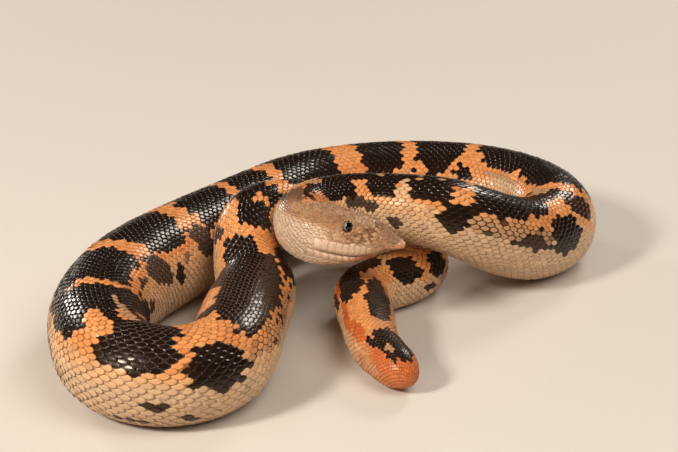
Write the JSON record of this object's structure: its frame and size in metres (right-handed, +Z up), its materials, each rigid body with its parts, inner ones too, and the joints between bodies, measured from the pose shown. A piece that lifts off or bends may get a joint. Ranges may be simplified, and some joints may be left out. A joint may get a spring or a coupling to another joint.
{
  "type": "coiled snake",
  "caption": "Life-size still figure of a blotched orange sand boa lying in a loose coil, with its chin held over its tail.",
  "frame": {"origin": "middle of the bounding box at floor level", "axes": "+Z up, the snout points along +X and a little towards -Y, the blunt tail tip points along -Y"},
  "size_m": [0.1301, 0.1372, 0.0316],
  "materials": {
    "head_skin": "satin scales, sandy tan",
    "body_skin": "satin scales, orange with black-brown blotches and a cream belly",
    "eye": "wet gloss, dark with a pale iris and a slit pupil"
  },
  "bodies": {
    "root": {"head": "head_skin", "lower_jaw": "head_skin", "eye_left": "eye", "eye_right": "eye", "neck": "head_skin", "trunk_01": "body_skin", "trunk_02": "body_skin", "trunk_03": "body_skin", "trunk_04": "body_skin", "trunk_05": "body_skin", "trunk_06": "body_skin", "trunk_07": "body_skin", "trunk_08": "body_skin", "trunk_09": "body_skin", "trunk_10": "body_skin", "tail": "body_skin"}
  },
  "joints": []
}
